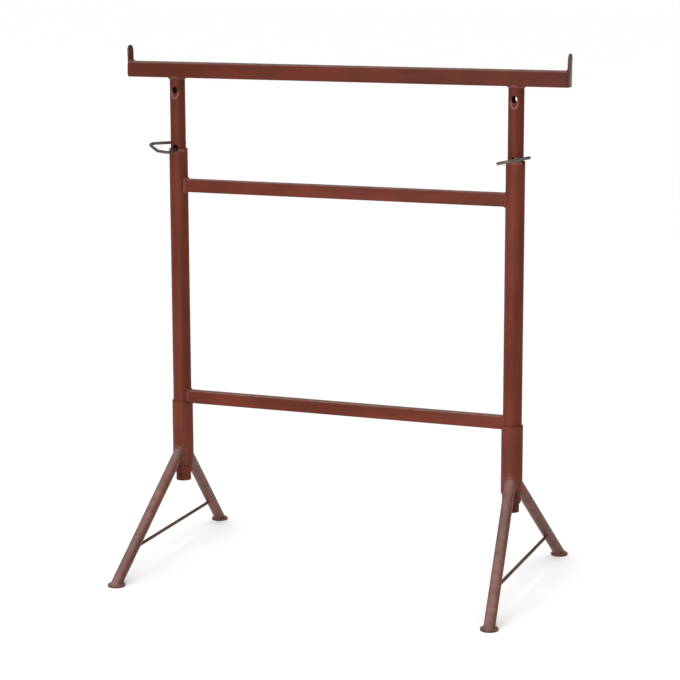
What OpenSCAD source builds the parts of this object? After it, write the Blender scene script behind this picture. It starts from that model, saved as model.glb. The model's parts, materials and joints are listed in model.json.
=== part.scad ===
// Height-adjustable work trestle of welded steel tube. The square top bar stands on two inner
// posts that slide in the outer posts. Each leg pair swivels on its outer post, so it folds
// flat into the plane of the frame.
// Millimetres, +Z up. The floor is z = 0, X runs along the top bar, and -Y is the front.

/* [Outer frame] */
// Distance between the centre lines of the two posts
post_spacing = 810; // [500:5:1500]
// Height of the outer posts' upper rims above the floor
rim_height = 966; // [800:1:1300]
// Length of the outer posts below their sleeves
post_stub = 23.2; // [10:0.1:40]
// Outside diameter of the outer posts
outer_d = 42.4; // [38:0.1:60.3]
// Wall of the outer posts
outer_wall = 2.6; // [2:0.1:4]
// Depth of the pin's seats in the rims of the outer posts
seat_depth = 7; // [3:0.5:9]
// Diameter of the round cut that makes each pin seat
seat_d = 20; // [19:0.5:30]
// Drop from the rims to the upper rail's centre line
upper_rail_drop = 85; // [50:1:150]
// Distance between the centre lines of the two rails
rail_spacing = 498; // [300:1:600]
// Height of each rail's section
rail_h = 30; // [20:1:40]
// Depth of each rail's section, front to back
rail_t = 20; // [15:1:25]
// Wall of the rails
rail_wall = 2; // [1.5:0.1:3]
// Outside corner radius of the rails
rail_corner = 3; // [2:0.5:4]

/* [Top frame] */
// Length of the top bar between its end stops
bar_length = 1042; // [900:2:1800]
// Height and depth of the top bar's square section
bar_side = 35; // [30:1:50]
// Wall of the top bar
bar_wall = 2; // [1.5:0.1:4]
// Outside corner radius of the top bar
bar_corner = 4; // [2:0.5:5]
// Radial play between the inner and the outer posts
slide_play = 1.1; // [0.4:0.1:1.5]
// Wall of the inner posts
inner_wall = 2; // [1.5:0.1:3]
// Length of the inner posts
inner_length = 948; // [850:1:970]
// Diameter of the pin holes in the inner posts
hole_d = 15; // [13:0.1:18]
// Distance between two pin holes
hole_pitch = 133; // [100:1:160]
// Number of pin hole levels in each inner post
hole_levels = 6; // [3:1:6]
// Pin hole that the pins are in, counted down from the top one, which is 0
pin_level = 1; // [0:1:2]
// Drop from the top bar's underside to the centre of the top pin hole
top_hole_drop = 28; // [15:1:60]
// Thickness of the end stops
stop_t = 4; // [3:0.5:8]
// Width of the end stops
stop_w = 25; // [15:1:30]
// Rise of the end stops above the top bar
stop_rise = 37; // [20:1:80]
// Outward lean of the end stops above the top bar, in degrees
stop_lean = 1.5; // [0:0.5:5]

/* [Locking pins] */
// Diameter of the pins' wire
wire_d = 7; // [5:0.1:9]
// Distance from the middle of the pin's shank to the bend into its loop, and about as far to its end
pin_half_w = 41; // [38:1:50]
// Straight side of the loop next to the shank, before it turns in to the tip
pin_side = 34; // [28:1:45]
// Distance from the shank to the tip of the loop, before it is rounded
pin_depth = 74; // [60:1:100]
// Distance of the tip from the middle of the pin, along the shank
pin_tip = 4; // [0:1:15]
// Distance of the returning arm's end from the middle of the pin, along the shank
pin_tail = 27; // [20:1:34]
// Bend radius of the wire's centre line
pin_bend = 12; // [8:1:14]
// How much further the right pin is pushed in than the left one
right_pin_push = 6; // [0:1:10]
// Room between the returning arm's end and the outer post, as the pin is pulled out
pin_play = 1.3; // [0.5:0.1:6]
// Room between a sloping pin and the edges of its holes
hole_room = 0.1; // [0.1:0.05:1]
// Rise of the left pin's loop towards its point, in degrees
left_pin_lift = 6; // [0:1:15]
// Rise of the right pin's loop towards its point, in degrees
right_pin_lift = 3; // [0:1:15]

/* [Leg pairs] */
// Radial running gap between an outer post and its sleeve
sleeve_gap = 0.35; // [0.3:0.05:0.8]
// Wall of the sleeves
sleeve_wall = 2.6; // [2:0.1:4]
// Length of a sleeve from the ledge under the lower rail to its lower end
sleeve_length = 143.5; // [100:0.5:180]
// Rise of the left sleeve's rim above its ledge
left_rim_rise = 5; // [3:0.5:12]
// Rise of the right sleeve's rim above its ledge
right_rim_rise = 10; // [3:0.5:12]
// Outside diameter of the legs
leg_d = 25.4; // [20:0.1:26]
// Wall of the legs
leg_wall = 2; // [1.5:0.1:3]
// Height of the leg's centre line above the sleeve's lower end, where it meets the sleeve
leg_root_rise = 21; // [21:1:60]
// Distance of each foot's centre from the frame's plane
foot_reach = 300; // [220:1:420]
// Distance of each foot's centre outwards from the post's centre line
foot_splay = 37; // [0:1:80]
// Turn of both leg pairs from square when they stand open, in degrees
open_turn = 1.6; // [0:0.1:5]
// Diameter of the foot plates
foot_d = 40; // [36:1:80]
// Thickness of the foot plates
foot_t = 5; // [3:0.5:10]
// Diameter of the tie rods
rod_d = 7.5; // [6:0.5:12]
// Distance along the legs from the foot plates up to the tie rods
rod_run = 96.4; // [50:0.1:170]
// Wire diameter of the retaining rings under the sleeves
ring_d = 3; // [2:0.5:4]

/* [Hidden] */
$fn = 64;

LEFT = -1;
RIGHT = 1;
FRONT = -1;
REAR = 1;

paint = [0.44, 0.22, 0.17];
pale_paint = [0.52, 0.33, 0.29];
wire_paint = [0.30, 0.20, 0.16];

// Gap between pieces that turn or slide on each other
clear = 0.3;
// Room beside the rail's ends for the weld, inside the sleeve's cut-away sector
weld_room = 3.4;
// Overlap of a cutting body past the faces that it cuts
eps = 1;
// How much thinner the pins' wire is in its bends, and how far the straight wire laps over them
bend_thinning = 0.1;
bend_lap = 0.3;

upper_rail_z = rim_height - upper_rail_drop;
lower_rail_z = upper_rail_z - rail_spacing;

// The inner posts slide in the outer posts, and the sleeves turn on the outer posts
inner_d = outer_d - 2 * outer_wall - 2 * slide_play;
sleeve_bore = outer_d + 2 * sleeve_gap;
sleeve_d = sleeve_bore + 2 * sleeve_wall;

// The pins slope as far as their holes let them, and their loops clear the outer posts
slope_h = hole_d / 2 - hole_room;
pin_tilt = atan2(slope_h, inner_d / 2) - asin(wire_d / 2 / norm([slope_h, inner_d / 2]));
pin_mouth = outer_d / 2 + wire_d / 2 + pin_play;

// A sloping pin rests in the seat on its low side, which sets how high the inner posts stand
seat_z = rim_height - seat_depth;
pin_z = seat_z + clear + wire_d / 2 / cos(pin_tilt) + outer_d / 2 * tan(pin_tilt);
top_hole_z = pin_z + pin_level * hole_pitch;
bar_bottom = top_hole_z + top_hole_drop;
bar_top = bar_bottom + bar_side;
inner_foot_z = bar_bottom - inner_length;

// Leg pairs: the lower rail stands on the sleeves' ledges
ledge_z = lower_rail_z - rail_h / 2 - clear;
sleeve_foot_z = ledge_z - sleeve_length;
post_foot_z = sleeve_foot_z - post_stub;
leg_root_z = sleeve_foot_z + leg_root_rise;
leg_reach = norm([foot_reach, foot_splay]);
leg_plan_angle = atan2(foot_splay, foot_reach);
leg_slope = atan2(leg_reach - sleeve_d / 2, leg_root_z - foot_t);
rod_z = foot_t + rod_run * cos(leg_slope);
rod_reach = leg_reach - rod_run * sin(leg_slope);

// Each sleeve's ledge spans the rail and its welds at both ends of the swivel
ledge_half = asin((rail_t / 2 + weld_room) / (sleeve_bore / 2));

function post_x(side) = side * post_spacing / 2;

// Plan direction of each pin: the left one runs front to back and the right one side to side
function pin_heading(side) = side == LEFT ? 90 : 0;

// Plan direction of a leg from its post: degrees from +X, with the open turn included
function leg_heading(side, end) = end * 90 - side * end * leg_plan_angle + open_turn;

// How far a leg pair swivels to lie flat in the frame's plane
function fold_turn(side) = 90 - side * open_turn;

module round_rect(w, h, r) {
    square([w - 2 * r, h], center = true);
    square([w, h - 2 * r], center = true);
    for (x = [-1, 1], y = [-1, 1])
        translate([x * (w / 2 - r), y * (h / 2 - r)])
            circle(r = r);
}

// Rounded rectangular tube along X, centred on the origin
module rect_tube_x(length, depth, height, wall, r) {
    rotate([90, 0, 90])
        linear_extrude(height = length, center = true)
            difference() {
                round_rect(depth, height, r);
                round_rect(depth - 2 * wall, height - 2 * wall, max(r - wall, 0.5));
            }
}

// Upright round tube from z0 to z1
module round_tube(d, wall, z0, z1) {
    translate([0, 0, z0])
        difference() {
            cylinder(d = d, h = z1 - z0);
            translate([0, 0, -eps])
                cylinder(d = d - 2 * wall, h = z1 - z0 + 2 * eps);
        }
}

// Pie slice of a cylinder, for cutting: from angle a0 to a1, from z0 to z1
module sector(radius, a0, a1, z0, z1) {
    steps = 6;
    rim = [for (i = [0:steps]) let (a = a0 + (a1 - a0) * i / steps) radius * [cos(a), sin(a)]];
    translate([0, 0, z0])
        linear_extrude(height = z1 - z0)
            polygon(concat([[0, 0]], rim));
}

// Outer frame

// Cylinder across a post's axis, for cutting, in a plan direction
module cross_cut(d, z, heading) {
    translate([0, 0, z])
        rotate([0, 90, heading])
            cylinder(d = d, h = sleeve_d, center = true);
}

// Outer post, with a seat for the pin in its rim on both sides
module outer_post(side) {
    color(paint)
        translate([post_x(side), 0, 0])
            difference() {
                round_tube(outer_d, outer_wall, post_foot_z, rim_height);
                cross_cut(seat_d, seat_z + seat_d / 2, pin_heading(side));
            }
}

module rail(z) {
    color(paint)
        difference() {
            translate([0, 0, z])
                rect_tube_x(post_spacing, rail_t, rail_h, rail_wall, rail_corner);
            for (side = [LEFT, RIGHT])
                translate([post_x(side), 0, z])
                    cylinder(d = outer_d, h = 2 * rail_h, center = true);
        }
}

module retaining_ring(side) {
    color(wire_paint)
        translate([post_x(side), 0, sleeve_foot_z - clear - ring_d / 2])
            difference() {
                rotate_extrude()
                    translate([outer_d / 2 + ring_d / 4, 0])
                        circle(d = ring_d);
                cylinder(d = outer_d, h = 2 * ring_d, center = true);
            }
}

// Top frame

module top_bar() {
    color(paint)
        translate([0, 0, bar_bottom + bar_side / 2])
            rect_tube_x(bar_length, bar_side, bar_side, bar_wall, bar_corner);
}

// Flat bar on the bar's end, which leans outwards above the bar and has a round top
module end_stop(side) {
    height = bar_side + stop_rise;
    lean_x = stop_rise * tan(stop_lean);
    color(paint)
        translate([side * bar_length / 2, 0, bar_bottom])
            mirror([side == LEFT ? 1 : 0, 0, 0])
                intersection() {
                    rotate([90, 0, 0])
                        linear_extrude(height = stop_w + 2 * eps, center = true)
                            polygon([[0, 0], [stop_t, 0], [stop_t, bar_side], [stop_t + lean_x, height],
                                     [lean_x, height], [0, bar_side]]);
                    rotate([90, 0, 90])
                        translate([0, 0, -eps])
                            linear_extrude(height = stop_t + lean_x + 2 * eps) {
                                translate([-stop_w / 2, 0])
                                    square([stop_w, height - stop_w / 2]);
                                translate([0, height - stop_w / 2])
                                    circle(d = stop_w);
                            }
                }
}

// Inner post, drilled front to back at each level. Below the top level it is also drilled in its
// pin's direction, where that is another one.
module inner_post(side) {
    color(paint)
        translate([post_x(side), 0, 0])
            difference() {
                round_tube(inner_d, inner_wall, inner_foot_z, bar_bottom);
                for (level = [0:hole_levels - 1]) {
                    cross_cut(hole_d, top_hole_z - level * hole_pitch, 90);
                    if (level >= min(pin_level, 1) && pin_heading(side) != 90)
                        cross_cut(hole_d, top_hole_z - level * hole_pitch, pin_heading(side));
                }
            }
}

// Locking pins

function heading(p, i) = atan2(p[i + 1].y - p[i].y, p[i + 1].x - p[i].x);
function turn(p, i) = (heading(p, i) - heading(p, i - 1) + 360) % 360;
function setback(p, i, r) = (i == 0 || i == len(p) - 1) ? 0 : r * tan(turn(p, i) / 2);

// Round wire in the XY plane through the points p, which turn left at every corner.
// The wire thins a little in its bends, and each straight stretch laps over their ends.
module bent_wire(p, d, r) {
    for (i = [0:len(p) - 2]) {
        start = max(setback(p, i, r) - bend_lap, 0);
        end = max(setback(p, i + 1, r) - bend_lap, 0);
        translate([p[i].x, p[i].y, 0])
            rotate([0, 0, heading(p, i)])
                translate([start, 0, 0])
                    rotate([0, 90, 0])
                        cylinder(d = d, h = norm(p[i + 1] - p[i]) - start - end);
    }
    for (i = [1:len(p) - 2])
        translate([p[i].x, p[i].y, 0])
            rotate([0, 0, heading(p, i - 1)])
                translate([-setback(p, i, r), r, 0])
                    rotate([0, 0, -90])
                        rotate_extrude(angle = turn(p, i))
                            translate([r, 0])
                                circle(d = d - bend_thinning);
}

// Pin with its shank along X through the origin, and an open four-sided loop towards +Y
module pin_wire() {
    bent_wire([[wire_d / 2 - pin_half_w, 0], [pin_half_w, 0], [pin_half_w, pin_side],
               [pin_tip, pin_depth], [-pin_tail, pin_mouth]], wire_d, pin_bend);
}

// Shank front to back, sloping down to the front, with the loop towards the outside
module left_locking_pin() {
    color(wire_paint)
        translate([post_x(LEFT), 0, pin_z])
            rotate([pin_tilt, 0, 0])
                rotate([0, 0, -90])
                    rotate([180 - left_pin_lift, 0, 0])
                        pin_wire();
}

// Shank side to side, sloping up to the outside, with the loop towards the front
module right_locking_pin() {
    color(wire_paint)
        translate([post_x(RIGHT), 0, pin_z])
            rotate([0, -pin_tilt, 0])
                translate([-right_pin_push, 0, 0])
                    rotate([180 - right_pin_lift, 0, 0])
                        pin_wire();
}

// Leg pairs

// Sleeve with a raised rim, cut away down to the ledge where the lower rail passes over it.
// The cut's two ends stop the swivel.
module sleeve(side, rim_rise) {
    rail_angle = side == LEFT ? 0 : 180;
    swept_angle = rail_angle - side * fold_turn(side);
    color(paint)
        translate([post_x(side), 0, 0])
            difference() {
                round_tube(sleeve_d, sleeve_wall, sleeve_foot_z, ledge_z + rim_rise);
                sector(sleeve_d, min(rail_angle, swept_angle) - ledge_half,
                       max(rail_angle, swept_angle) + ledge_half, ledge_z, ledge_z + rim_rise + eps);
            }
}

// Places children in a leg's own frame: origin on the floor under the post, +X towards the foot
module at_leg(side, end) {
    translate([post_x(side), 0, 0])
        rotate([0, 0, leg_heading(side, end)])
            children();
}

// Sloping round bar along the leg's centre line, longer than the leg at both ends
module leg_bar(d) {
    run_on = 2 * leg_d;
    length = norm([leg_reach - sleeve_d / 2, leg_root_z - foot_t]);
    translate([leg_reach, 0, foot_t])
        rotate([0, -leg_slope, 0])
            translate([0, 0, -run_on])
                cylinder(d = d, h = length + run_on + sleeve_d / 2);
}

module leg(side, end) {
    color(pale_paint)
        at_leg(side, end)
            difference() {
                leg_bar(leg_d);
                leg_bar(leg_d - 2 * leg_wall);
                translate([0, 0, foot_t - 3 * leg_d])
                    cylinder(d = 3 * leg_reach, h = 3 * leg_d);
                cylinder(d = sleeve_d, h = rim_height);
            }
}

module foot(side, end) {
    color(pale_paint)
        at_leg(side, end)
            translate([leg_reach, 0, 0])
                cylinder(d = foot_d, h = foot_t);
}

// Rod between the two legs of a pair, shaped to their round at both ends
module tie_rod(side) {
    rod_out = rod_reach * sin(leg_plan_angle);
    rod_half = rod_reach * cos(leg_plan_angle);
    color(wire_paint)
        difference() {
            translate([post_x(side), 0, rod_z])
                rotate([0, 0, open_turn])
                    translate([side * rod_out, 0, 0])
                        rotate([90, 0, 0])
                            cylinder(d = rod_d, h = 2 * rod_half, center = true);
            for (end = [FRONT, REAR])
                at_leg(side, end)
                    leg_bar(leg_d);
        }
}

outer_post(LEFT);  // left_outer_post
outer_post(RIGHT);  // right_outer_post
rail(upper_rail_z);  // upper_rail
rail(lower_rail_z);  // lower_rail
retaining_ring(LEFT);  // left_retaining_ring
retaining_ring(RIGHT);  // right_retaining_ring
top_bar();
end_stop(LEFT);  // left_end_stop
end_stop(RIGHT);  // right_end_stop
inner_post(LEFT);  // left_inner_post
inner_post(RIGHT);  // right_inner_post
left_locking_pin();
right_locking_pin();
sleeve(LEFT, left_rim_rise);  // left_sleeve
leg(LEFT, FRONT);  // left_front_leg
leg(LEFT, REAR);  // left_rear_leg
tie_rod(LEFT);  // left_tie_rod
foot(LEFT, FRONT);  // left_front_foot
foot(LEFT, REAR);  // left_rear_foot
sleeve(RIGHT, right_rim_rise);  // right_sleeve
leg(RIGHT, FRONT);  // right_front_leg
leg(RIGHT, REAR);  // right_rear_leg
tie_rod(RIGHT);  // right_tie_rod
foot(RIGHT, FRONT);  // right_front_foot
foot(RIGHT, REAR);  // right_rear_foot
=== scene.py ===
"""Looks for the folding trestle: steel tubes with dished pin holes, weld beads, bent-wire pins and
red-brown primer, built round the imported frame. Lengths are in metres, in the frame's own axes."""
import json
import math

import bmesh
import bpy
import numpy as np
from mathutils import Matrix, Vector


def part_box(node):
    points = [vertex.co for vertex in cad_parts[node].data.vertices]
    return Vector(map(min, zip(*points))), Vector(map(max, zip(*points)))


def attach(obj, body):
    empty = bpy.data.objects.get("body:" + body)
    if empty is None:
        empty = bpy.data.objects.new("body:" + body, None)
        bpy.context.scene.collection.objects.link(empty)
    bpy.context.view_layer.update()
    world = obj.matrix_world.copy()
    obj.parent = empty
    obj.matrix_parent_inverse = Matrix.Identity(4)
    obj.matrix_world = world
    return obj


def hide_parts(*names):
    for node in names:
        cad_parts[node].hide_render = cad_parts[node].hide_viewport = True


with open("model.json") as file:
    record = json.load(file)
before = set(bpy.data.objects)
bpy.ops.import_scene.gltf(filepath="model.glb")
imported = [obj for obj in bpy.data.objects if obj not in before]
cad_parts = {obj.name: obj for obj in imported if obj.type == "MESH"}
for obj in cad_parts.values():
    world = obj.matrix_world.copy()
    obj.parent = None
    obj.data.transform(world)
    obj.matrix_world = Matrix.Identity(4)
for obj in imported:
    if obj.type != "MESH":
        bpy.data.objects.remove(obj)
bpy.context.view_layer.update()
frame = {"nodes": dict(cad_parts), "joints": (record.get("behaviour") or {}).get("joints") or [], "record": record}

SIDES = {"left": -1, "right": 1}
ENDS = {"front": -1, "rear": 1}
MM = 0.001


# Sizes: from the frame where it gives them

def node_box(node):
    """Lowest and highest corner of a node's box."""
    lo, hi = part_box(node)
    return np.array(lo), np.array(hi)


def node_radius(node, centre):
    """Largest distance of a node's vertices from an upright axis through centre."""
    co = np.array([v.co for v in frame["nodes"][node].data.vertices])
    return float(np.hypot(co[:, 0] - centre[0], co[:, 1] - centre[1]).max())


def mount(name):
    return next(m for m in frame["record"]["mounts"] if m["name"] == name)


def joint(name):
    return next(j for j in frame["joints"] if j["name"] == name)


post_lo, post_hi = node_box("right_outer_post")
POST_X = float(post_lo[0] + post_hi[0]) / 2
POST = {side: np.array([sign * POST_X, 0.0, 0.0]) for side, sign in SIDES.items()}
OUTER_R = node_radius("right_outer_post", POST["right"])
OUTER_WALL = 2.6 * MM
POST_FOOT_Z = float(post_lo[2])
RIM_Z = float(post_hi[2])

inner_lo, inner_hi = node_box("right_inner_post")
INNER_R = node_radius("right_inner_post", POST["right"])
INNER_WALL = 2.0 * MM
INNER_FOOT_Z = float(inner_lo[2])
BAR_BOTTOM = float(inner_hi[2])
TOP_HOLE_Z = mount("right_top_hole")["pos_m"][2]
HOLE_R = mount("right_top_hole")["dims"]["r_mm"] * MM
HOLE_PITCH = 133 * MM
HOLE_LEVELS = 6
PIN_LEVEL = 1
SEAT_R = 10 * MM
SEAT_Z = RIM_Z - 7 * MM
PIN_HEADING = {"left": math.pi / 2, "right": 0.0}

_, bar_hi = node_box("top_bar")
BAR_TOP = float(bar_hi[2])
BAR_SIDE = BAR_TOP - BAR_BOTTOM
BAR_END_X = float(bar_hi[0])
BAR_CORNER = 4.0 * MM
BAR_WALL = 2.0 * MM
stop_lo, stop_hi = node_box("right_end_stop")
STOP_TOP = float(stop_hi[2])
STOP_W = float(stop_hi[1] - stop_lo[1])
STOP_T = 4.0 * MM
STOP_LEAN = math.radians(1.5)

rail_lo, rail_hi = node_box("lower_rail")
RAIL_H = float(rail_hi[2] - rail_lo[2])
RAIL_T = float(rail_hi[1] - rail_lo[1])
RAIL_CORNER = 3.0 * MM

sleeve_lo, _ = node_box("right_sleeve")
SLEEVE_R = node_radius("right_sleeve", POST["right"])
SLEEVE_WALL = 2.6 * MM
SLEEVE_FOOT_Z = float(sleeve_lo[2])
CLEAR = 0.3 * MM
LEDGE_Z = float(rail_lo[2]) - CLEAR
WELD_ROOM = 3.4 * MM

foot_lo, foot_hi = node_box("right_front_foot")
FOOT_R = float(foot_hi[0] - foot_lo[0]) / 2
FOOT_T = float(foot_hi[2])
LEG_R = 12.7 * MM
LEG_ROOT_Z = SLEEVE_FOOT_Z + 21 * MM
ROD_R = 3.75 * MM
RING_D = 3.0 * MM

WIRE_D = 7.0 * MM
PIN_HALF_W = 41 * MM
PIN_SIDE = 34 * MM
PIN_DEPTH = 74 * MM
PIN_TIP = 4 * MM
PIN_TAIL = 27 * MM
PIN_BEND = 12 * MM
RIGHT_PIN_PUSH = 6 * MM
PIN_MOUTH = OUTER_R + WIRE_D / 2 + 1.3 * MM
PIN_Z = TOP_HOLE_Z - PIN_LEVEL * HOLE_PITCH
LEFT_PIN_LIFT = math.radians(6)
RIGHT_PIN_LIFT = math.radians(3)

# Sizes of the weld beads, across each face that they lie on
RAIL_WELD = 3.6 * MM
LEDGE_WELD = 3.0 * MM
STOP_TOP_WELD = 4.2 * MM
STOP_SIDE_WELD = 4.0 * MM
POST_TOP_WELD = 3.8 * MM
LEG_ROOT_WELD = 4.0 * MM
FOOT_WELD = 2.6 * MM
ROD_WELD = 2.4 * MM
# How far a welded tube reaches into the face that it stands on
BITE = 0.2 * MM

# The dish pressed in round each hole that is drilled front to back
DISH_HALF_W = 10.8 * MM
DISH_HALF_H = 16.5 * MM
DISH_DROP = 4.5 * MM
DISH_DEPTH = 2.4 * MM
DISH_SLOPE = 0.38


# Materials

# Pale tint: a painted highlight on the lower edges of the dishes round the holes, and a paler band at the outer
# posts' rims
PALE_TINT = (0.34, 0.19, 0.165)
# Tint for upward faces: partly settled dust, partly painted sheen of the light from above
DUST_AND_SHEEN = (0.42, 0.33, 0.30)
DARK_STEEL = (0.065, 0.043, 0.035)


class Shader:
    """A Principled material with a few short ways to add nodes."""

    def __init__(self, name):
        self.material = bpy.data.materials.new(name)
        self.material.use_nodes = True
        self.tree = self.material.node_tree
        self.bsdf = self.tree.nodes["Principled BSDF"]
        self.place = self.add("ShaderNodeTexCoord").outputs["Object"]

    def add(self, kind, **values):
        node = self.tree.nodes.new(kind)
        for key, value in values.items():
            setattr(node, key, value)
        return node

    def link(self, output, target):
        self.tree.links.new(output, target)

    def noise(self, scale, detail=3.0, roughness=0.5, stretch=(1, 1, 1)):
        mapping = self.add("ShaderNodeMapping")
        mapping.inputs["Scale"].default_value = stretch
        self.link(self.place, mapping.inputs["Vector"])
        node = self.add("ShaderNodeTexNoise")
        node.inputs["Scale"].default_value = scale
        node.inputs["Detail"].default_value = detail
        node.inputs["Roughness"].default_value = roughness
        self.link(mapping.outputs["Vector"], node.inputs["Vector"])
        return node.outputs["Fac"]

    def ramp(self, value, low, high, to_low=0.0, to_high=1.0):
        node = self.add("ShaderNodeMapRange", interpolation_type="SMOOTHSTEP")
        self.link(value, node.inputs["Value"])
        node.inputs["From Min"].default_value = low
        node.inputs["From Max"].default_value = high
        node.inputs["To Min"].default_value = to_low
        node.inputs["To Max"].default_value = to_high
        return node.outputs["Result"]

    def math(self, operation, a, b):
        node = self.add("ShaderNodeMath", operation=operation)
        for slot, value in zip(node.inputs, (a, b)):
            if isinstance(value, (int, float)):
                slot.default_value = value
            else:
                self.link(value, slot)
        return node.outputs["Value"]

    def mix(self, factor, a, b):
        node = self.add("ShaderNodeMix", data_type="RGBA")
        self.link(factor, node.inputs["Factor"])
        for slot, value in ((node.inputs["A"], a), (node.inputs["B"], b)):
            if isinstance(value, tuple):
                slot.default_value = (*value, 1.0)
            else:
                self.link(value, slot)
        return node.outputs["Result"]

    def bump(self, layers):
        """layers: (height output, distance in metres), from the finest to the coarsest."""
        normal = None
        for height, distance in layers:
            node = self.add("ShaderNodeBump")
            node.inputs["Strength"].default_value = 1.0
            node.inputs["Distance"].default_value = distance
            self.link(height, node.inputs["Height"])
            if normal is not None:
                self.link(normal, node.inputs["Normal"])
            normal = node.outputs["Normal"]
        self.link(normal, self.bsdf.inputs["Normal"])


def primer(name, deep, light, stretch, dust=0.0, gloss=0.12, bare=DARK_STEEL):
    """Red-brown primer on steel: mottled colour, brush marks, a pale tint on upward faces that is partly dust and
    partly painted sheen of the light from above, and worn patches, which show the bare colour;
    at the foot plates' bottom rims that dark colour is partly painted shade. stretch squeezes the streaks so that
    they run along the piece."""
    s = Shader(name)
    streaks = s.noise(34.0, 4.0, 0.55, stretch)
    patches = s.noise(7.0, 3.0, 0.5)
    grain = s.noise(420.0, 4.0, 0.6)
    tone = s.math("ADD", s.math("MULTIPLY", streaks, 0.5), s.math("MULTIPLY", patches, 0.5))
    colour = s.mix(s.ramp(tone, 0.36, 0.64), deep, light)
    fleck = s.math("MULTIPLY", s.ramp(grain, 0.52, 0.72), 0.22)
    colour = s.mix(fleck, colour, tuple(c * 0.72 for c in deep))
    # The pale mark mixes in a pale tint: painted highlight on the lower edges of the dishes round the holes
    pale = s.add("ShaderNodeAttribute", attribute_name="pale").outputs["Fac"]
    colour = s.mix(pale, colour, PALE_TINT)
    # Worn patches show the bare colour; at the foot plates' bottom rims the legs' near-black bare colour is partly
    # painted shade
    wear = s.add("ShaderNodeAttribute", attribute_name="wear").outputs["Fac"]
    scuff = s.noise(150.0, 6.0, 0.65, stretch)
    worn_and_shaded = s.ramp(s.math("ADD", wear, s.math("MULTIPLY", scuff, 0.8)), 0.98, 1.12)
    colour = s.mix(worn_and_shaded, colour, bare)
    # Upward faces get a pale tint: partly settled dust, partly a painted sheen of the light from above
    if dust:
        up = s.add("ShaderNodeSeparateXYZ")
        s.link(s.add("ShaderNodeNewGeometry").outputs["Normal"], up.inputs["Vector"])
        facing_up = s.ramp(up.outputs["Z"], 0.05, 0.9)
        settled_dust_and_sheen = s.math("MULTIPLY", facing_up, s.ramp(s.noise(60.0, 5.0), 0.3, 0.7, 0.5))
        colour = s.mix(s.math("MULTIPLY", settled_dust_and_sheen, dust), colour, DUST_AND_SHEEN)
    s.link(colour, s.bsdf.inputs["Base Color"])
    rough = s.math("ADD", s.ramp(patches, 0.3, 0.7, 0.40, 0.50), s.math("MULTIPLY", grain, 0.10))
    s.link(s.math("SUBTRACT", rough, s.math("MULTIPLY", worn_and_shaded, 0.10)), s.bsdf.inputs["Roughness"])
    s.bsdf.inputs["Specular IOR Level"].default_value = gloss
    s.bump([(grain, 0.05 * MM), (s.noise(95.0, 2.0, 0.4, stretch), 0.22 * MM), (worn_and_shaded, -0.06 * MM)])
    return s.material


ALONG_X = (0.12, 1, 1)
ALONG_Z = (1, 1, 0.12)
EVEN = (1, 1, 1)
FRAME_DEEP = (0.088, 0.0156, 0.0076)
FRAME_LIGHT = (0.136, 0.0262, 0.0134)
# The top frame's primer is the frame's primer made darker: painted shade, as the upper frame gets less light from
# the floor
SHADED_TOP_DEEP = (0.074, 0.0124, 0.0060)
SHADED_TOP_LIGHT = (0.114, 0.0208, 0.0104)
post_paint = primer("primer_upright", FRAME_DEEP, FRAME_LIGHT, ALONG_Z)
inner_paint = primer("primer_inner_posts", SHADED_TOP_DEEP, SHADED_TOP_LIGHT, ALONG_Z)
bar_paint = primer("primer_top_bar", SHADED_TOP_DEEP, SHADED_TOP_LIGHT, ALONG_X, dust=0.35)
# The sleeves' paint is the frame's primer made brighter: painted light from the floor's bounce
lit_sleeve_paint = primer("primer_sleeves", (0.100, 0.0206, 0.0116), (0.158, 0.0350, 0.0200), ALONG_Z)
stop_paint = primer("primer_stops", SHADED_TOP_DEEP, SHADED_TOP_LIGHT, ALONG_Z, bare=(0.088, 0.068, 0.048))
rail_paint = primer("primer_level", FRAME_DEEP, FRAME_LIGHT, ALONG_X, dust=0.35)
# The legs' paint is the frame's primer made lighter and pinker: painted sheen of the light from above
lit_leg_paint = primer("primer_legs", (0.088, 0.020, 0.012), (0.160, 0.048, 0.032), EVEN, dust=0.24,
                   gloss=0.38, bare=(0.024, 0.017, 0.014))
weld_paint = primer("primer_welds", (0.090, 0.020, 0.012), (0.135, 0.034, 0.021), EVEN, dust=0.2,
                    gloss=0.28)
rod_paint = primer("worn_rod", (0.072, 0.040, 0.029), (0.120, 0.068, 0.050), EVEN,
                   bare=(0.15, 0.13, 0.11))
wire_steel = primer("worn_wire", (0.058, 0.040, 0.033), (0.125, 0.095, 0.082), EVEN, gloss=0.5,
                    bare=(0.30, 0.27, 0.25))
wire_steel.node_tree.nodes["Principled BSDF"].inputs["Metallic"].default_value = 0.45


# Mesh building

def grid_faces(rows, cols, close_rows=False):
    """Quads over rows x cols vertices, numbered row by row. Each row is a loop."""
    faces = []
    for i in range(rows if close_rows else rows - 1):
        for j in range(cols):
            a, b = i * cols, (i + 1) % rows * cols
            k = (j + 1) % cols
            faces.append((a + j, a + k, b + k, b + j))
    return faces


def capped(rings):
    """A closed solid from rings of equal length: quads between them and a fan over each end."""
    rings = np.asarray(rings, float)
    rows, cols = rings.shape[:2]
    verts = list(rings.reshape(-1, 3))
    faces = grid_faces(rows, cols)
    for row, flip in ((0, True), (rows - 1, False)):
        hub = len(verts)
        verts.append(rings[row].mean(0))
        for j in range(cols):
            pair = (row * cols + j, row * cols + (j + 1) % cols)
            faces.append((pair[1], pair[0], hub) if flip else (*pair, hub))
    return verts, faces


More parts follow.
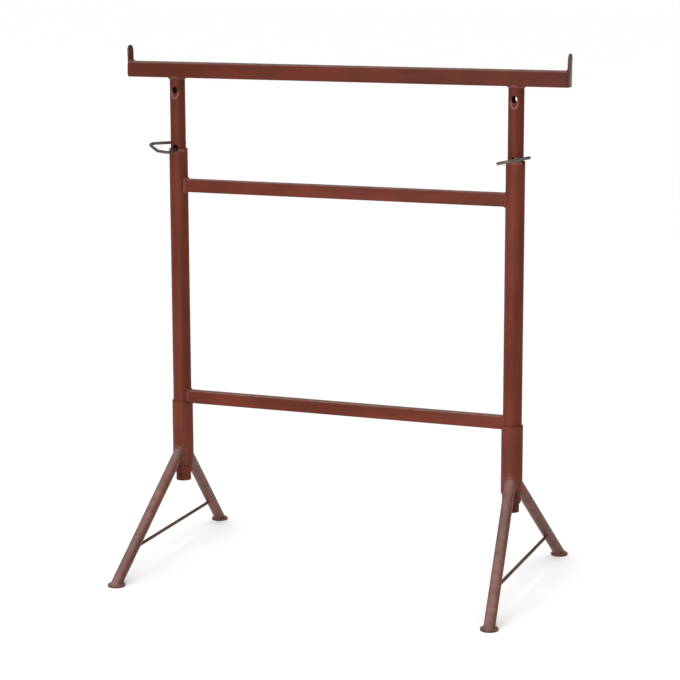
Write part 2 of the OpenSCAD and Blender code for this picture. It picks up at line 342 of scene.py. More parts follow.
def add_piece(name, verts, faces, material, body, node=None, wear=None, pale=None, sharp=40):
    """Makes a closed mesh piece that rides on a body and, if node is given, stands for that CAD node.
    The two marks say how rubbed the paint is at a point, which at the foot plates' bottom rims also stands for
    painted shade, and how much pale tint it gets, which round the holes is a painted highlight."""
    mesh = bpy.data.meshes.new(name)
    mesh.from_pydata([tuple(map(float, v)) for v in verts], [], faces)
    bm = bmesh.new()
    bm.from_mesh(mesh)
    bmesh.ops.recalc_face_normals(bm, faces=bm.faces)
    bm.to_mesh(mesh)
    bm.free()
    mesh.shade_smooth()
    mesh.set_sharp_from_angle(angle=math.radians(sharp))
    for mark, amount in (("wear", wear), ("pale", pale)):
        if amount is not None:
            layer = mesh.attributes.new(mark, "FLOAT", "POINT")
            layer.data.foreach_set("value", [float(amount(np.array(v.co))) for v in mesh.vertices])
    mesh.materials.append(material)
    obj = bpy.data.objects.new(name, mesh)
    bpy.context.scene.collection.objects.link(obj)
    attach(obj, body)
    if node:
        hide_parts(node)


def near(value, target, reach):
    """1 at the target, falling to 0 at reach from it."""
    return max(0.0, 1.0 - abs(value - target) / reach)


def arc(cx, cy, r, start, stop, steps=4):
    """Points on an arc, angles in degrees."""
    angles = np.radians(np.linspace(start, stop, steps + 1))
    return [(cx + r * math.cos(a), cy + r * math.sin(a)) for a in angles]


def tube_profile(r_out, r_in, z0, z1, lip, bands):
    """Closed (radius, height) outline of a tube's wall with rounded lips. bands gives the heights
    between them that also get a point, from the lowest up."""
    return (arc(r_out - lip, z0 + lip, lip, -90, 0) + [(r_out, z) for z in bands]
            + arc(r_out - lip, z1 - lip, lip, 0, 90) + arc(r_in + lip, z1 - lip, lip, 90, 180)
            + [(r_in, z) for z in reversed(bands)] + arc(r_in + lip, z0 + lip, lip, 180, 270))


def on_circle(centre, r, a, z):
    """Point at height z on a circle about an upright axis, angle in radians."""
    return centre[0] + r * math.cos(a), centre[1] + r * math.sin(a), z


def lathe(profile, centre, segments=72):
    """An open (radius, height) outline turned about an upright axis and closed across it."""
    angles = np.linspace(0, 2 * math.pi, segments, endpoint=False)
    return capped([[on_circle(centre, r, a, z) for a in angles] for r, z in profile])


def upright_tube(columns, r_out, r_in, foot_z, lip, bands, centre):
    """A tube whose top differs from place to place. columns: (angle in degrees, height of the top)."""
    profiles = [tube_profile(r_out, r_in, foot_z, top, lip, bands) for _, top in columns]
    rows = len(profiles[0])
    verts = [on_circle(centre, profile[i][0], math.radians(a), profile[i][1])
             for i in range(rows) for (a, _), profile in zip(columns, profiles)]
    return verts, grid_faces(rows, len(columns), close_rows=True)


def rounded_rect(width, height, r, steps=5):
    """Closed outline of a rounded rectangle."""
    points = []
    for sx, sy, start in ((1, 1, 0), (-1, 1, 90), (-1, -1, 180), (1, -1, 270)):
        points += arc(sx * (width / 2 - r), sy * (height / 2 - r), r, start, start + 90, steps)
    return points


def unit(v):
    """The vector at length 1."""
    return v / np.linalg.norm(v)


def across_axis(v, axis):
    """The part of a vector that is square to an axis."""
    return v - axis * np.dot(v, axis)


def hit_cylinder(start, ray, on_axis, axis, r, first=True):
    """Distance from start along ray to a cylinder: where it goes in, or where it comes out."""
    w = across_axis(start - on_axis, axis)
    v = across_axis(ray, axis)
    a, b, c = np.dot(v, v), 2 * np.dot(w, v), np.dot(w, w) - r * r
    root = math.sqrt(max(b * b - 4 * a * c, 0.0))
    return (-b - root if first else -b + root) / (2 * a)


def cylinder_normal(p, on_axis, axis):
    """Outward direction at a point of a cylinder."""
    return unit(across_axis(p - on_axis, axis))


def spanning_bar(origin, direction, section, start, stop, fractions):
    """A solid bar whose two ends follow other surfaces. section is a loop of offsets from the centre
    line; start and stop give the distance along the bar for a line's origin. Returns verts, faces
    and the two end loops."""
    lines = [origin + offset for offset in section]
    s0 = np.array([start(q) for q in lines])
    s1 = np.array([stop(q) for q in lines])
    rings = [[q + direction * (a + (b - a) * t) for q, a, b in zip(lines, s0, s1)] for t in fractions]
    verts, faces = capped(rings)
    return verts, faces, np.array(rings[0]), np.array(rings[-1])


def circle_section(direction, radius, segments):
    """Offsets of a circle's points from a centre line that runs in a direction."""
    side = unit(np.cross(direction, (0, 0, 1)) if abs(direction[2]) < 0.95 else np.array([1.0, 0, 0]))
    other = np.cross(direction, side)
    angles = np.linspace(0, 2 * math.pi, segments, endpoint=False)
    return [radius * (math.cos(a) * side + math.sin(a) * other) for a in angles]


def resample(points, spacing, closed):
    """Points at an even spacing along a polyline."""
    points = np.asarray(points, float)
    if closed:
        points = np.vstack([points, points[:1]])
    steps = np.linalg.norm(np.diff(points, axis=0), axis=1)
    along = np.concatenate([[0], np.cumsum(steps)])
    count = max(int(round(along[-1] / spacing)), 8)
    where = np.linspace(0, along[-1], count + 1)
    if closed:
        where = where[:-1]
    return np.stack([np.interp(where, along, points[:, k]) for k in range(3)], axis=1)


# A bead has a section every BEAD_STEP millimetres and a new random size every LUMP_EVERY sections
BEAD_STEP = 0.7
LUMP_EVERY = 12
RIPPLE = 2.6 * MM
ARC_STEPS = 7


def weld_bead(name, points, normals, size, body, seed, closed=True, keep_in=None):
    """A fillet weld along the line where two surfaces meet, with overlapping ripples.
    normals(point) gives the two surfaces' outward normals there. keep_in(vertex) gives the place of
    a vertex that must stay within bounds."""
    rng = np.random.default_rng(seed)
    points = resample(points, BEAD_STEP * MM, closed)
    count = len(points)
    ahead = np.roll(points, -1, axis=0)
    behind = np.roll(points, 1, axis=0)
    if not closed:
        ahead[-1], behind[0] = points[-1], points[0]
    lump_count = max(count // LUMP_EVERY, 3)
    lumps = np.interp(np.arange(count) * BEAD_STEP, np.linspace(0, count * BEAD_STEP, lump_count),
                      rng.uniform(0.86, 1.16, lump_count))
    if closed:
        blend = np.clip(np.arange(count) / LUMP_EVERY, 0, 1)
        lumps = lumps * blend + lumps[-1] * (1 - blend)
    rings = []
    for i, p in enumerate(points):
        n1, n2 = (unit(np.asarray(n, float)) for n in normals(p))
        tangent = unit(ahead[i] - behind[i])
        a = np.cross(tangent, n1)
        a = unit(a if np.dot(a, n2) > 0 else -a)
        b = np.cross(tangent, n2)
        b = unit(b if np.dot(b, n1) > 0 else -b)
        taper = 1.0
        if not closed:
            taper = min(1.0, 0.35 + 0.65 * min(i, count - 1 - i) / 4)
        ring = [p - (n1 + n2) * 0.6 * MM]
        for k in range(ARC_STEPS + 1):
            turn = math.pi / 2 * k / ARC_STEPS
            middle = math.sin(2 * turn)
            phase = ((i * BEAD_STEP * MM + 0.9 * MM * middle) / RIPPLE) % 1.0
            scale = 1.0 + 0.13 * (1.0 - phase) * middle
            reach = size * lumps[i] * taper * scale * (0.70 + 0.30 * abs(math.cos(2 * turn)))
            sink = 0.25 * MM * (1 - middle)
            ring.append(p + reach * (math.cos(turn) * a + math.sin(turn) * b) - sink * (n1 + n2) / 2)
        rings.append(ring)
    rings = np.array(rings)
    if closed:
        verts = rings.reshape(-1, 3)
        faces = grid_faces(count, rings.shape[1], close_rows=True)
    else:
        verts, faces = capped(rings)
    if keep_in:
        verts = [keep_in(v) for v in verts]
    add_piece(name, verts, faces, weld_paint, body, sharp=75)


# Outer frame

def seat_height(across):
    """Height of the pin seat's round cut at a distance from its middle."""
    return SEAT_Z + SEAT_R - math.sqrt(SEAT_R ** 2 - across ** 2)


def outer_posts():
    """Tubes with a round seat for the pin cut in the rim, on both sides."""
    bands = [POST_FOOT_Z + 4 * MM, POST_FOOT_Z + 25 * MM, RIM_Z - 60 * MM, SEAT_Z - 8 * MM, SEAT_Z - 2 * MM]
    mid_r = OUTER_R - OUTER_WALL / 2
    half = math.degrees(math.asin(math.sqrt(SEAT_R ** 2 - (SEAT_R - (RIM_Z - SEAT_Z)) ** 2) / mid_r))
    for side in SIDES:
        heading = math.degrees(PIN_HEADING[side])

        def seat_top(p):
            """Height of the rim or seat above a point of the wall."""
            across = p[0] - POST[side][0] if side == "left" else p[1]
            return RIM_Z if abs(across) >= SEAT_R else min(RIM_Z, seat_height(across))

        columns = []
        for turn in (0, 180):
            columns += [(heading + turn + a, seat_height(mid_r * math.sin(math.radians(a))))
                        for a in np.linspace(-half, half, 19)]
            columns += [(heading + turn + a, RIM_Z) for a in np.linspace(half + 0.8, 180 - half - 0.8, 24)]
        verts, faces = upright_tube(columns, OUTER_R, OUTER_R - OUTER_WALL, POST_FOOT_Z, 0.7 * MM, bands,
                                    POST[side])
        add_piece(f"{side}_outer_tube", verts, faces, post_paint, "base_frame",
                  f"{side}_outer_post", wear=lambda p: 0.40 * near(p[2], RIM_Z, 9 * MM),
                  pale=lambda p: 0.30 * near(p[2], seat_top(p), 3 * MM))


def rails():
    """Tubes between the outer posts, shaped to them at both ends."""
    along = np.array([1.0, 0, 0])
    up = np.array([0, 0, 1.0])
    outline = rounded_rect(RAIL_T, RAIL_H, RAIL_CORNER)
    fractions = [0, 0.004, 0.02, 0.1, 0.3, 0.5, 0.7, 0.9, 0.98, 0.996, 1]
    for index, node in enumerate(("upper_rail", "lower_rail")):
        lo, hi = node_box(node)
        centre = np.array([0, 0, (lo[2] + hi[2]) / 2])
        section = [np.array([0, y, z]) for y, z in outline]
        grip = OUTER_R - BITE
        verts, faces, left_loop, right_loop = spanning_bar(
            centre, along, section,
            lambda q: hit_cylinder(q, along, POST["left"], up, grip, first=False),
            lambda q: hit_cylinder(q, along, POST["right"], up, grip), fractions)
        add_piece(f"{node}_tube", verts, faces, rail_paint, "base_frame", node)
        for side, loop in (("left", left_loop), ("right", right_loop)):
            def normals(p, side=side, centre=centre):
                y = np.clip(p[1], -(RAIL_T / 2 - RAIL_CORNER), RAIL_T / 2 - RAIL_CORNER)
                dz = p[2] - centre[2]
                z = np.clip(dz, -(RAIL_H / 2 - RAIL_CORNER), RAIL_H / 2 - RAIL_CORNER)
                return cylinder_normal(p, POST[side], up), np.array([0, p[1] - y, dz - z])
            line = loop
            closed = node == "upper_rail"
            if not closed:
                # The lower rail stands on the sleeve, so its weld leaves the underside free
                keep = loop[:, 2] > lo[2] + 2.0 * MM
                first = next(i for i in range(len(loop)) if keep[i] and not keep[i - 1])
                line = np.roll(loop, -first, axis=0)[:int(keep.sum())]
            weld_bead(f"{node}_{side}_weld", line, normals, RAIL_WELD if closed else LEDGE_WELD,
                      "base_frame", closed=closed, seed=11 + 2 * index + (side == "right"))


def retaining_rings():
    """Open wire rings under the sleeves, sunk a little into the posts."""
    centre_r = OUTER_R + RING_D / 4
    z = SLEEVE_FOOT_Z - CLEAR - RING_D / 2
    gap = math.radians(12)
    for side, sign in SIDES.items():
        mid = 0 if sign < 0 else math.pi
        angles = np.linspace(mid + gap, mid + 2 * math.pi - gap, 61)
        rings = []
        for i, a in enumerate(angles):
            out = np.array([math.cos(a), math.sin(a), 0])
            r = RING_D / 2 * (0.8 if i in (0, len(angles) - 1) else 1.0)
            turns = np.linspace(0, 2 * math.pi, 12, endpoint=False)
            rings.append([POST[side] + out * (centre_r + r * math.cos(t))
                          + np.array([0, 0, z + r * math.sin(t)]) for t in turns])
        verts, faces = capped(rings)
        add_piece(f"{side}_snap_ring", verts, faces, rod_paint, "base_frame",
                  f"{side}_retaining_ring")


# Top frame

def top_bar():
    """Square tube, open a little way in at each end behind the stops."""
    along = np.array([1.0, 0, 0])
    centre = np.array([0, 0, (BAR_BOTTOM + BAR_TOP) / 2])
    lip = 0.5 * MM
    outline = rounded_rect(BAR_SIDE, BAR_SIDE, BAR_CORNER)
    shrunk = rounded_rect(BAR_SIDE - 2 * lip, BAR_SIDE - 2 * lip, BAR_CORNER - lip)
    inside = BAR_SIDE - 2 * BAR_WALL
    hollow = rounded_rect(inside, inside, BAR_CORNER - BAR_WALL)
    recess = 6 * MM
    stations = [(-BAR_END_X + recess, hollow), (-BAR_END_X, hollow), (-BAR_END_X, shrunk),
                (-BAR_END_X + lip, outline)]
    stations += [(BAR_END_X * t, outline) for t in (-0.95, -0.75, -0.5, -0.25, 0, 0.25, 0.5, 0.75, 0.95)]
    stations += [(BAR_END_X - lip, outline), (BAR_END_X, shrunk), (BAR_END_X, hollow),
                 (BAR_END_X - recess, hollow)]
    rings = [[centre + along * x + np.array([0, y, z]) for y, z in loop] for x, loop in stations]
    verts, faces = capped(rings)
    add_piece("top_bar_tube", verts, faces, bar_paint, "top_frame", "top_bar")


def end_stops():
    """Flat bars with round tops, which lean outwards above the bar."""
    half = STOP_W / 2
    height = STOP_TOP - BAR_BOTTOM
    outline = [(-half, 0), (half, 0), (half, BAR_SIDE * 0.5), (half, BAR_SIDE)]
    outline += arc(0, height - half, half, 0, 180, 20)
    outline += [(-half, BAR_SIDE), (-half, BAR_SIDE * 0.5)]
    bevel = 0.8 * MM
    for side, sign in SIDES.items():
        rings = []
        for out, inset in ((0, bevel), (bevel * 0.3, bevel * 0.3), (bevel, 0), (STOP_T - bevel, 0),
                           (STOP_T - bevel * 0.3, bevel * 0.3), (STOP_T, bevel)):
            ring = []
            for y, z in outline:
                y2 = y * (1 - inset / half)
                z2 = height / 2 + (z - height / 2) * (1 - 2 * inset / height)
                lean = max(z2 - BAR_SIDE, 0) * math.tan(STOP_LEAN)
                ring.append((sign * (BAR_END_X + out + lean), y2, BAR_BOTTOM + z2))
            rings.append(ring)
        verts, faces = capped(rings)

        def rubbed(p):
            """Worn at the tip, on the edges and on the outer face."""
            outside = abs(p[0]) > BAR_END_X + 0.9 * STOP_T
            return (0.50 * near(p[2], STOP_TOP, 14 * MM) + 0.42 * near(abs(p[1]), half, 5 * MM)
                    + 0.20 * (p[2] > BAR_TOP) + 0.55 * outside)
        add_piece(f"{side}_stop_plate", verts, faces, stop_paint, "top_frame",
                  f"{side}_end_stop", wear=rubbed)
        inward = np.array([-sign, 0, 0])
        top_line = [(sign * BAR_END_X, y, BAR_TOP) for y in np.linspace(-half + 1 * MM, half - 1 * MM, 20)]
        weld_bead(f"{side}_stop_top_weld", top_line, lambda p: ((0, 0, 1), inward), STOP_TOP_WELD,
                  "top_frame", closed=False, seed=31 + (sign > 0))
        for end, far in ENDS.items():
            edge = [(sign * BAR_END_X, far * half, z)
                    for z in np.linspace(BAR_BOTTOM + 1.5 * MM, BAR_TOP - 1.5 * MM, 30)]
            weld_bead(f"{side}_stop_{end}_weld", edge, lambda p: ((sign, 0, 0), (0, far, 0)),
                      STOP_SIDE_WELD, "top_frame", closed=False, seed=41 + 2 * (sign > 0) + (far > 0))


# The wall of an inner post is made in patches, with this many quads across and up each one
QUARTERS = 4
ACROSS = 10
UP = 16
PATCH_HALF_U = math.pi * INNER_R / QUARTERS
PATCH_HALF_Z = 25.5 * MM
# Loops of vertices from a hole's edge, at 0, to its patch's edge, at 1
REACH = [0.0, 0.04, 0.10, 0.20, 0.30, 0.40, 0.52, 0.66, 0.82, 1.0]
HOLE_LIP = 0.35 * MM


def patch_edge():
    """Points round a patch of wall, and the matching angles on its hole's edge:
    a list of ((u, z), angle)."""
    right = [(PATCH_HALF_U, z) for z in np.linspace(-PATCH_HALF_Z, PATCH_HALF_Z, UP + 1)[:-1]]
    top = [(u, PATCH_HALF_Z) for u in np.linspace(PATCH_HALF_U, -PATCH_HALF_U, ACROSS + 1)[:-1]]
    left = [(-PATCH_HALF_U, z) for z in np.linspace(PATCH_HALF_Z, -PATCH_HALF_Z, UP + 1)[:-1]]
    bottom = [(u, -PATCH_HALF_Z) for u in np.linspace(-PATCH_HALF_U, PATCH_HALF_U, ACROSS + 1)[:-1]]
    return [((u, z), math.atan2(z / PATCH_HALF_Z, u / PATCH_HALF_U)) for u, z in right + top + left + bottom]


def dish_edge(u, z):
    """0 at the middle of the dish round a punched hole, 1 at its edge. It reaches lower than higher."""
    return math.hypot(u / DISH_HALF_W, (z + DISH_DROP) / DISH_HALF_H)


def dish(u, z):
    """How far the tube's wall is pressed in round a punched hole: flat, with a steep edge."""
    t = min(max((1 - dish_edge(u, z)) / DISH_SLOPE, 0.0), 1.0)
    return DISH_DEPTH * t * t * (3 - 2 * t)


class InnerPost:
    """The wall of an inner post. A place on it is u, the arc length round the outside, and z. The
    post is drilled front to back at each level, and the right one below its top level also from
    side to side. Each hole has its own patch of wall, a quarter of the way round, so that its rim is
    round and its dish is smooth."""

    def __init__(self, side):
        self.side = side
        self.verts = []
        self.faces = []
        self.found = {}
        for level in range(HOLE_LEVELS):
            for quarter in range(QUARTERS):
                centre = (quarter * 2 * PATCH_HALF_U, TOP_HOLE_Z - level * HOLE_PITCH)
                if quarter % 2 == 0 and (side == "left" or level == 0):
                    self.plain_patch(*centre)
                else:
                    self.holed_patch(*centre)
        self.stretches()

    @staticmethod
    def from_hole(u, z):
        """The quarter that a place is in, and where it is from the nearest hole's centre."""
        quarter = round(u / (2 * PATCH_HALF_U))
        level = min(HOLE_LEVELS - 1, max(0, round((TOP_HOLE_Z - z) / HOLE_PITCH)))
        return quarter % QUARTERS, u - quarter * 2 * PATCH_HALF_U, z - (TOP_HOLE_Z - level * HOLE_PITCH)

    def vert(self, u, z, depth):
        """Number of the vertex at a place, depth into the wall."""
        quarter, local_u, local_z = self.from_hole(u, z)
        r = INNER_R - depth - (dish(local_u, local_z) if quarter % 2 else 0.0)
        a = u / INNER_R
        key = (round(a % (2 * math.pi - 1e-9), 6), round(z, 7), round(depth, 6))
        if key not in self.found:
            self.found[key] = len(self.verts)
            self.verts.append(on_circle(POST[self.side], r, a, z))
        return self.found[key]

    def strip(self, loop_a, loop_b, closed=True):
        """Quads between two rows of vertices."""
        for i in range(len(loop_a) if closed else len(loop_a) - 1):
            k = (i + 1) % len(loop_a)
            self.faces.append((loop_a[i], loop_a[k], loop_b[k], loop_b[i]))

    def plain_patch(self, u0, z0):
        """A patch without a hole, on both faces of the wall."""
        us = np.linspace(-PATCH_HALF_U, PATCH_HALF_U, ACROSS + 1)
        zs = np.linspace(-PATCH_HALF_Z, PATCH_HALF_Z, UP + 1)
        for depth in (0.0, INNER_WALL):
            rows = [[self.vert(u0 + u, z0 + z, depth) for u in us] for z in zs]
            for a, b in zip(rows, rows[1:]):
                self.strip(a, b, closed=False)

    def holed_patch(self, u0, z0):
        """The outer face from the patch's edge in to the hole, then the inner face back out."""
        loops = []
        for depth, lip, steps in ((0.0, HOLE_LIP, REACH[::-1]), (INNER_WALL, -HOLE_LIP, REACH)):
            for t in steps:
                loop = []
                for (edge_u, edge_z), a in patch_edge():
                    u, z = HOLE_R * math.cos(a), HOLE_R * math.sin(a)
                    loop.append(self.vert(u0 + u + (edge_u - u) * t, z0 + z + (edge_z - z) * t,
                                          depth + (lip if t == 0.0 else 0.0)))
                loops.append(loop)
        for a, b in zip(loops, loops[1:]):
            self.strip(a, b)

    def ring(self, z, depth):
        """The vertices all the way round at one height."""
        around = ACROSS * QUARTERS
        return [self.vert(2 * PATCH_HALF_U * (j / ACROSS - 0.5), z, depth) for j in range(around)]

    def stretches(self):
        """The plain wall between the patches, and the two ends."""
        levels = [TOP_HOLE_Z - k * HOLE_PITCH for k in range(HOLE_LEVELS)]
        spans = [(levels[0] + PATCH_HALF_Z, BAR_BOTTOM)]
        spans += [(lower + PATCH_HALF_Z, upper - PATCH_HALF_Z) for upper, lower in zip(levels, levels[1:])]
        spans += [(INNER_FOOT_Z, levels[-1] - PATCH_HALF_Z)]
        for z0, z1 in spans:
            cuts = np.linspace(z0, z1, max(2, int((z1 - z0) / (14 * MM)) + 1))
            for depth in (0.0, INNER_WALL):
                rows = [self.ring(z, depth) for z in cuts]
                for a, b in zip(rows, rows[1:]):
                    self.strip(a, b)
        for z in (INNER_FOOT_Z, BAR_BOTTOM):
            self.strip(self.ring(z, 0.0), self.ring(z, INNER_WALL))

    def dish_highlight(self, p):
        """Painted highlight: the lower edge of each dish, whose wall faces up, is made paler."""
        a = math.atan2(p[1], p[0] - POST[self.side][0]) % (2 * math.pi)
        quarter, u, z = self.from_hole(a * INNER_R, p[2])
        below = min(max(-z / (9 * MM), 0.0), 1.0)
        return 0.55 * below * near(dish_edge(u, z), 0.86, 0.20) if quarter % 2 else 0.0


def inner_posts():
    for side in SIDES:
        post = InnerPost(side)
        add_piece(f"{side}_inner_tube", post.verts, post.faces, inner_paint, "top_frame",
                  f"{side}_inner_post", wear=lambda p: 0.22 * near(p[2], TOP_HOLE_Z, 60 * MM),
                  pale=post.dish_highlight, sharp=55)
        post_top_weld(side)


def post_top_weld(side):
    """Bead round the top of an inner post, which rises at the bar's rounded corners."""
    centre = POST[side]
    flat = BAR_SIDE / 2 - BAR_CORNER

    def normals(p):
        lean = min(max((abs(p[1]) - flat) / BAR_CORNER, 0.0), 1.0) * math.radians(50)
        under = np.array([0, math.copysign(math.sin(lean), p[1]), -math.cos(lean)])
        return under, cylinder_normal(p, centre, np.array([0, 0, 1.0]))

    line = []
    for a in np.linspace(0, 2 * math.pi, 90, endpoint=False):
        y = INNER_R * math.sin(a)
        past_flat = max(abs(y) - flat, 0) / BAR_CORNER
        rise = BAR_CORNER * (1 - math.sqrt(max(0.0, 1 - past_flat ** 2))) * 0.45
        line.append((centre[0] + INNER_R * math.cos(a), y, BAR_BOTTOM + rise))
    weld_bead(f"{side}_post_top_weld", line, normals, POST_TOP_WELD, "top_frame", seed=51 + (side == "right"))


# Locking pins

def pin_path():
    """The wire's centre line in the pin's own plane: straight stretches and round bends."""
    corners = [(WIRE_D / 2 - PIN_HALF_W, 0.0), (PIN_HALF_W, 0.0), (PIN_HALF_W, PIN_SIDE),
               (PIN_TIP, PIN_DEPTH), (-PIN_TAIL, PIN_MOUTH)]
    corners = [np.array(c) for c in corners]
    path = [corners[0]]
    for before, corner, after in zip(corners, corners[1:], corners[2:]):
        u, v = unit(corner - before), unit(after - corner)
        turn = math.acos(np.clip(np.dot(u, v), -1, 1))
        setback = PIN_BEND * math.tan(turn / 2)
        centre = corner - u * setback + PIN_BEND * np.array([-u[1], u[0]])
        start = math.atan2(-u[0], u[1])
        for t in np.linspace(0, 1, 15):
            a = start + turn * t
            path.append(centre + PIN_BEND * np.array([math.cos(a), math.sin(a)]))
    path.append(corners[-1])
    return path


def locking_pins():
    """Bent round wire with nipped ends, worn bright where it passes through the post."""
    flat_path = resample([(x, y, 0) for x, y in pin_path()], 2.2 * MM, closed=False)
    sections = 18
    turns = np.linspace(0, 2 * math.pi, sections, endpoint=False)
    normal = np.array([0, 0, 1.0])
    # Distance from the wire's end and share of its radius, out to the nipped end
    nipped = [(0.9 * MM, 1.0), (0.25 * MM, 0.86), (0.0, 0.62)]
    rings = []
    last = len(flat_path) - 1
    for i, p in enumerate(flat_path):
        tangent = unit(flat_path[min(i + 1, last)] - flat_path[max(i - 1, 0)])
        across = np.cross(normal, tangent)
        stations = [(0.0, 1.0)]
        if i == 0:
            stations = nipped[::-1]
        if i == last:
            stations = [(-back, scale) for back, scale in nipped]
        for shift, scale in stations:
            r = WIRE_D / 2 * scale
            rings.append([p + tangent * shift + r * (math.cos(t) * across + math.sin(t) * normal)
                          for t in turns])
    verts, faces = capped(rings)
    slopes = {"left": math.acos(-joint("left_pin_pull")["axis"][1]),
              "right": math.acos(joint("right_pin_pull")["axis"][0])}
    places = {
        "left": (Matrix.Rotation(slopes["left"], 4, "X") @ Matrix.Rotation(-math.pi / 2, 4, "Z")
                 @ Matrix.Rotation(math.pi - LEFT_PIN_LIFT, 4, "X")),
        "right": (Matrix.Rotation(-slopes["right"], 4, "Y") @ Matrix.Translation((-RIGHT_PIN_PUSH, 0, 0))
                  @ Matrix.Rotation(math.pi - RIGHT_PIN_LIFT, 4, "X")),
    }
    for side, turn in places.items():
        centre = Vector((POST[side][0], 0, PIN_Z))
        place = Matrix.Translation(centre) @ turn
        add_piece(f"{side}_wire_pin", [place @ Vector(v) for v in verts], faces, wire_steel, f"{side}_pin",
                  f"{side}_locking_pin",
                  wear=lambda p: 0.45 * near((Vector(p) - centre).length, 0, 45 * MM) + 0.16)


# Leg pairs

def sleeves():
    """Tubes with a raised rim, cut down to a ledge where the lower rail passes over them."""
    bore_r = SLEEVE_R - SLEEVE_WALL
    half = math.degrees(math.asin((RAIL_T / 2 + WELD_ROOM) / bore_r))
    bands = [SLEEVE_FOOT_Z + 4 * MM, SLEEVE_FOOT_Z + 50 * MM, LEDGE_Z - 20 * MM, LEDGE_Z - 2 * MM]
    # The rim is rounded off where it drops to the ledge
    corner_drop = 1.4 * MM
    shoulder_drop = 0.4 * MM
    for side in SIDES:
        swivel = joint(f"{side}_leg_swivel")["range_deg"]
        rail_angle = 0 if side == "left" else 180
        swept = (rail_angle - swivel[0], rail_angle - swivel[1])
        a0, a1 = min(swept) - half, max(swept) + half
        rim = float(node_box(f"{side}_sleeve")[1][2])
        columns = [(a, LEDGE_Z) for a in np.linspace(a0 + 0.7, a1 - 0.7, 40)]
        columns += [(a1, rim - corner_drop), (a1 + 1.4, rim - shoulder_drop)]
        columns += [(a, rim) for a in np.linspace(a1 + 4, a0 + 356, 46)]
        columns += [(a0 + 358.6, rim - shoulder_drop), (a0 + 360.0, rim - corner_drop)]
        verts, faces = upright_tube(columns, SLEEVE_R, bore_r, SLEEVE_FOOT_Z, 0.6 * MM, bands, POST[side])
        add_piece(f"{side}_swivel_sleeve", verts, faces, lit_sleeve_paint, f"{side}_legs",
                  f"{side}_sleeve", wear=lambda p: 0.30 * near(p[2], rim, 14 * MM))


def leg_axis(side, end):
    """The foot point and the upward direction of a leg's centre line."""
    lo, hi = node_box(f"{side}_{end}_foot")
    foot = np.array([(lo[0] + hi[0]) / 2, (lo[1] + hi[1]) / 2, FOOT_T])
    out = foot - POST[side]
    out[2] = 0
    root = POST[side] + unit(out) * SLEEVE_R + np.array([0, 0, LEG_ROOT_Z])
    return foot, unit(root - foot)


def legs_and_feet():
    for side, sign in SIDES.items():
        for end, far in ENDS.items():
            foot, rise = leg_axis(side, end)
            leg(side, end, foot, rise, seed=61 + 4 * (sign > 0) + 2 * (far > 0))
            foot_plate(side, end, foot)


def leg(side, end, foot, rise, seed):
    """Tube from the foot plate to the sleeve, with a weld at each end."""
    up = np.array([0, 0, 1.0])
    grip = SLEEVE_R - 0.3 * MM
    verts, faces, floor_loop, top_loop = spanning_bar(
        foot, rise, circle_section(rise, LEG_R, 56),
        lambda q: (FOOT_T - BITE - q[2]) / rise[2],
        lambda q: hit_cylinder(q, rise, POST[side], up, grip), [0, 0.01, 0.05, 0.2, 0.4, 0.6, 0.8, 0.95, 1])
    body = f"{side}_legs"
    add_piece(f"{side}_{end}_leg_tube", verts, faces, lit_leg_paint, body, f"{side}_{end}_leg",
              wear=lambda p: 0.22 * near(p[2], 0, 60 * MM))
    weld_bead(f"{side}_{end}_leg_root_weld", top_loop,
              lambda p: (cylinder_normal(p, POST[side], up), cylinder_normal(p, foot, rise)),
              LEG_ROOT_WELD, body, seed)

    def on_plate(v):
        """A vertex of the foot's weld, drawn in to the plate's edge if it is past it."""
        out = np.array([v[0] - foot[0], v[1] - foot[1], 0])
        past = np.linalg.norm(out) / (FOOT_R - 0.3 * MM)
        return v - out * (1 - 1 / past) if past > 1 else v
    weld_bead(f"{side}_{end}_foot_weld", floor_loop, lambda p: (up, cylinder_normal(p, foot, rise)),
              FOOT_WELD, body, seed + 1, keep_in=on_plate)


def foot_plate(side, end, foot):
    """Round plate with rounded edges."""
    edge = 1.2 * MM
    hub = 1 * MM
    profile = [(hub, 0), (FOOT_R * 0.6, 0), (FOOT_R - edge, 0)]
    profile += arc(FOOT_R - edge, edge, edge, -60, 0, 3)
    profile += arc(FOOT_R - edge, FOOT_T - edge, edge, 0, 90, 4)
    profile += [(FOOT_R * 0.8, FOOT_T), (hub, FOOT_T)]
    verts, faces = lathe(profile, foot)
    # The plate goes near black towards its bottom rim: partly worn paint, partly painted shade where it meets the
    # floor
    add_piece(f"{side}_{end}_foot_plate", verts, faces, lit_leg_paint, f"{side}_legs",
              f"{side}_{end}_foot", wear=lambda p: 0.85 * near(p[2], 0, 12 * MM))


def tie_rods():
    """Round rods between the two legs of each pair, welded at both ends."""
    for side in SIDES:
        lo, hi = node_box(f"{side}_tie_rod")
        z = (lo[2] + hi[2]) / 2
        axes = {end: leg_axis(side, end) for end in ENDS}
        ends = {end: foot + rise * ((z - foot[2]) / rise[2]) for end, (foot, rise) in axes.items()}
        along = unit(ends["rear"] - ends["front"])
        section = circle_section(along, ROD_R, 20)
        grip = LEG_R - BITE
        verts, faces, front_loop, rear_loop = spanning_bar(
            ends["front"], along, section,
            lambda q: hit_cylinder(q, along, *axes["front"], grip, first=False),
            lambda q: hit_cylinder(q, along, *axes["rear"], grip), [0, 0.02, 0.25, 0.5, 0.75, 0.98, 1])
        body = f"{side}_legs"
        add_piece(f"{side}_brace_rod", verts, faces, rod_paint, body, f"{side}_tie_rod",
                  wear=lambda p: 0.10)
        for end, loop in (("front", front_loop), ("rear", rear_loop)):
            weld_bead(f"{side}_{end}_rod_weld", loop,
                      lambda p: (cylinder_normal(p, *axes[end]), cylinder_normal(p, ends["front"], along)),
                      ROD_WELD, body, seed=81 + (end == "rear") + 2 * (side == "right"))


# Stage

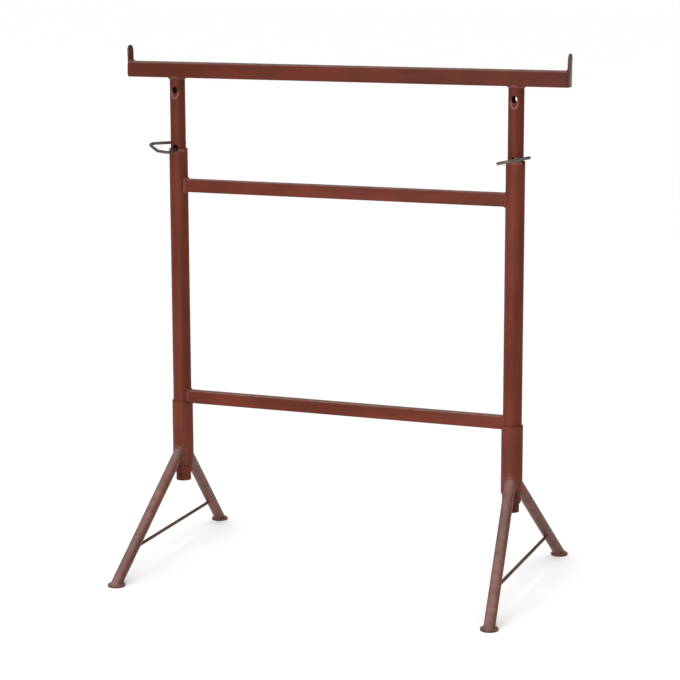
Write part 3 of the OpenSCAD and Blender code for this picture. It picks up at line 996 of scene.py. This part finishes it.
def stage():
    """Plain pale floor and a bright studio wall."""
    bpy.ops.mesh.primitive_plane_add(size=60)
    floor = bpy.context.object
    floor.name = "floor"
    s = Shader("pale_floor")
    s.bsdf.inputs["Roughness"].default_value = 0.9
    s.link(s.mix(s.noise(2.0), (0.90, 0.90, 0.895), (0.93, 0.93, 0.925)), s.bsdf.inputs["Base Color"])
    s.bsdf.inputs["Emission Color"].default_value = (1, 1, 1, 1)
    s.bsdf.inputs["Emission Strength"].default_value = 0.16
    floor.data.materials.append(s.material)
    world = bpy.data.worlds.new("studio")
    bpy.context.scene.world = world
    world.use_nodes = True
    tree = world.node_tree
    background = tree.nodes["Background"]
    background.inputs["Color"].default_value = (1, 1, 1, 1)
    # The studio's wall looks near white, while the room beyond the lamps stays dim
    strength = tree.nodes.new("ShaderNodeMapRange")
    strength.inputs["To Min"].default_value = 0.22
    strength.inputs["To Max"].default_value = 1.0
    tree.links.new(tree.nodes.new("ShaderNodeLightPath").outputs["Is Camera Ray"], strength.inputs["Value"])
    tree.links.new(strength.outputs["Result"], background.inputs["Strength"])


def area_light(name, place, aim, size, power):
    data = bpy.data.lights.new(name, "AREA")
    data.shape = "RECTANGLE"
    data.size, data.size_y = size
    data.energy = power
    light = bpy.data.objects.new(name, data)
    light.location = place
    light.rotation_euler = (Vector(aim) - Vector(place)).to_track_quat("-Z", "Y").to_euler()
    bpy.context.scene.collection.objects.link(light)


def sky_light(name, aim_from, strength, spread):
    """An even soft light from far away; aim_from is the direction that it comes from."""
    data = bpy.data.lights.new(name, "SUN")
    data.energy = strength
    data.angle = math.radians(spread)
    light = bpy.data.objects.new(name, data)
    light.rotation_euler = Vector(aim_from).to_track_quat("Z", "Y").to_euler()
    bpy.context.scene.collection.objects.link(light)


def lights():
    """Even light from above, and one soft lamp in front."""
    sky_light("overhead", (-0.15, -0.2, 1), 2.35, 100)
    area_light("front", (0.0, -2.7, 0.8), (-0.1, 0, 0.5), (1.5, 1.5), 41)


def camera():
    """Stands to the right of the front, a little above the top bar, and looks at the frame's middle."""
    yaw, pitch, roll = math.radians(21.5), math.radians(10.835), math.radians(-0.149)
    target = Vector((-0.0060, 0, 0.5427))
    distance = 4.9923
    forward = Vector((-math.sin(yaw) * math.cos(pitch), math.cos(yaw) * math.cos(pitch), -math.sin(pitch)))
    right = Vector((math.cos(yaw), math.sin(yaw), 0))
    up = right.cross(forward)
    right, up = (right * math.cos(roll) + up * math.sin(roll), up * math.cos(roll) - right * math.sin(roll))
    data = bpy.data.cameras.new("camera")
    data.sensor_width = 36
    data.lens = 116.13
    obj = bpy.data.objects.new("camera", data)
    obj.matrix_world = (Matrix.Translation(target - forward * distance)
                        @ Matrix((right, up, -forward)).transposed().to_4x4())
    bpy.context.scene.collection.objects.link(obj)
    bpy.context.scene.camera = obj


camera()
stage()
lights()
outer_posts()
rails()
retaining_rings()
top_bar()
end_stops()
inner_posts()
locking_pins()
sleeves()
legs_and_feet()
tie_rods()

bpy.context.scene.view_settings.view_transform = "Standard"
